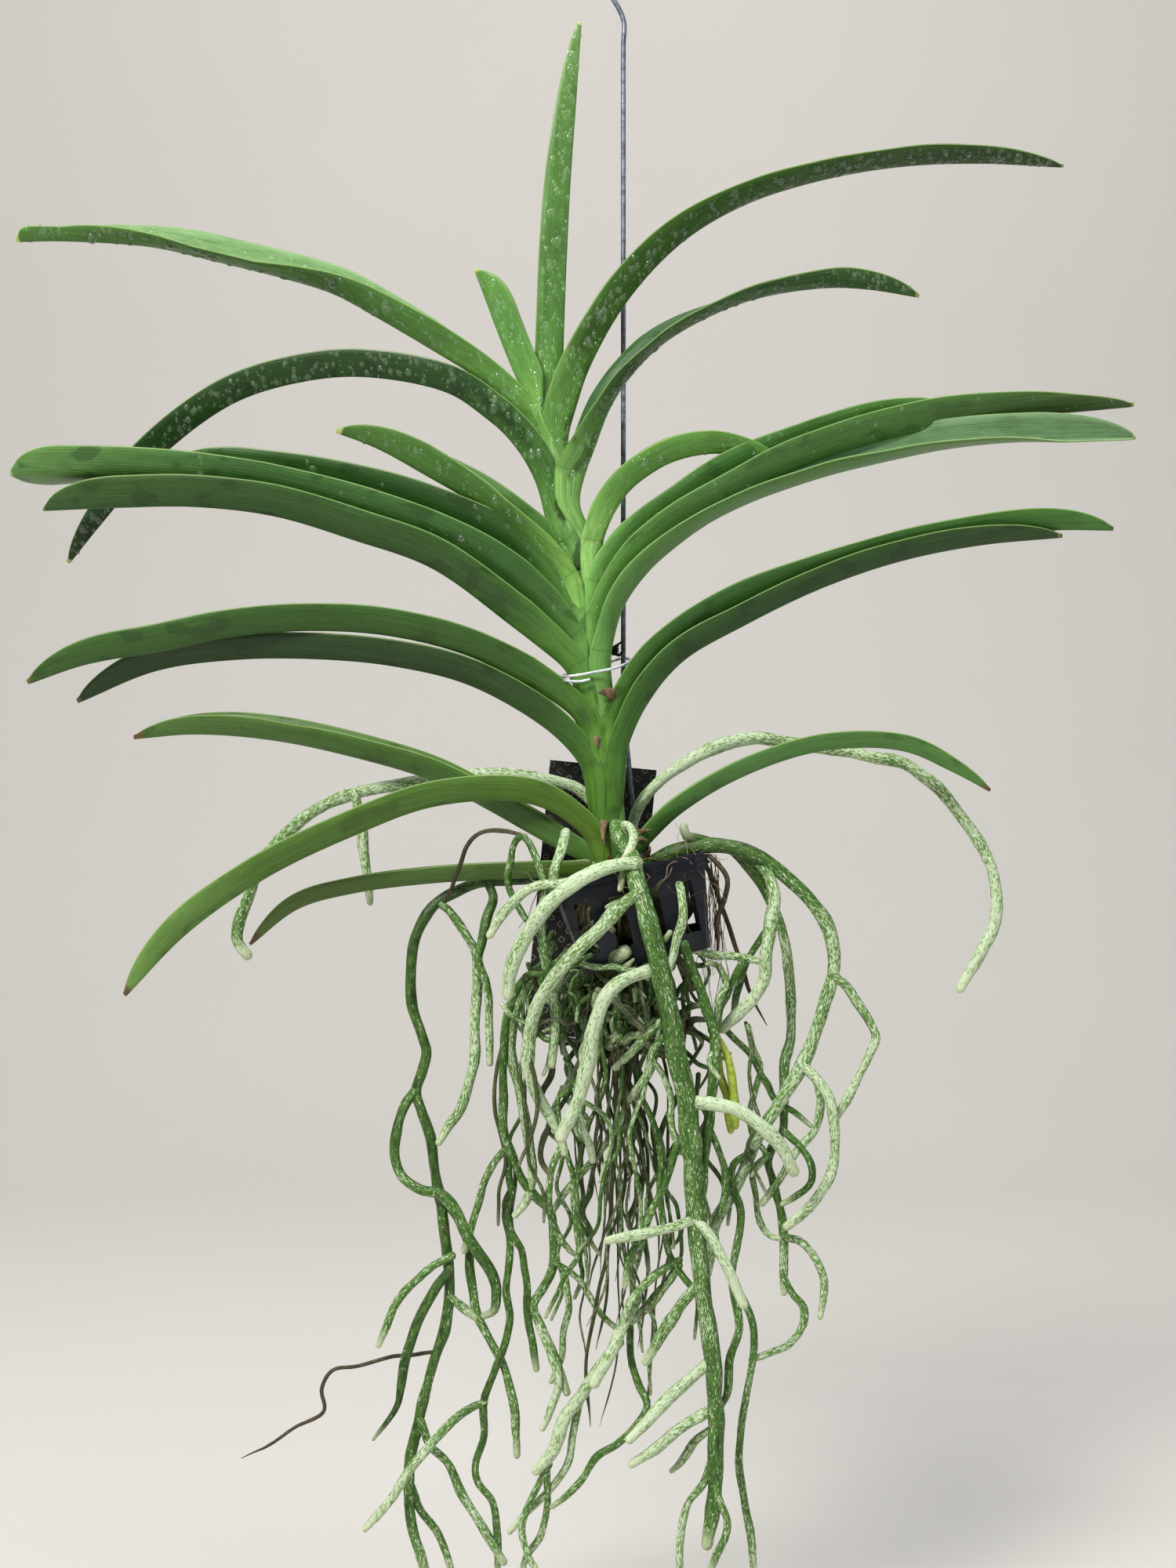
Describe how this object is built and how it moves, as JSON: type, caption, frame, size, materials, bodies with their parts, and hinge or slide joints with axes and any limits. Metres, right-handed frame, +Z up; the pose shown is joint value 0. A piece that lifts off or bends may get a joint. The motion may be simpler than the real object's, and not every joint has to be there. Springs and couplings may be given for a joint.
{
  "type": "vanda orchid",
  "caption": "Leafy vanda orchid plant with long bare aerial roots, hung by a wire hook from a small slotted basket; two ranks of folded strap leaves on one upright stem.",
  "frame": {"origin": "the inner top of the hanger's hook, where it bears on what it hangs from", "axes": "+Z is up, along the hanger's wire; the plant faces -Y, with its two ranks of leaves out to -X and +X"},
  "size_m": [0.6032, 0.1152, 0.8817],
  "materials": {
    "young_leaf": "satin, fresh green with a paler margin",
    "old_leaf": "satin, dark green with fine lengthwise veins",
    "sheath": "satin, pale yellow-green",
    "root": "matt, silver-grey velamen over green",
    "black_plastic": "moulded black plastic",
    "galvanised": "dull galvanised wire",
    "tie_metal": "pale thin wire",
    "card": "black printed plastic card"
  },
  "bodies": {
    "root": {"stem": "sheath", "leaf_crown": "young_leaf", "leaf_left_bud": "young_leaf", "leaf_left_1": "young_leaf", "leaf_left_2": "young_leaf", "leaf_left_3": "young_leaf", "leaf_left_3b": "old_leaf", "leaf_left_4": "old_leaf", "leaf_left_5": "old_leaf", "leaf_left_6": "old_leaf", "leaf_left_7": "old_leaf", "leaf_left_8": "old_leaf", "leaf_left_9": "old_leaf", "leaf_left_10": "old_leaf", "leaf_right_1": "young_leaf", "leaf_right_2": "old_leaf", "leaf_right_3": "young_leaf", "leaf_right_3b": "old_leaf", "leaf_right_4": "old_leaf", "leaf_right_5": "old_leaf", "leaf_right_6": "old_leaf", "leaf_right_7": "old_leaf", "leaf_right_8": "old_leaf", "roots": "root", "basket": "black_plastic", "hanger": "galvanised", "tie": "tie_metal", "card": "card"}
  },
  "joints": []
}
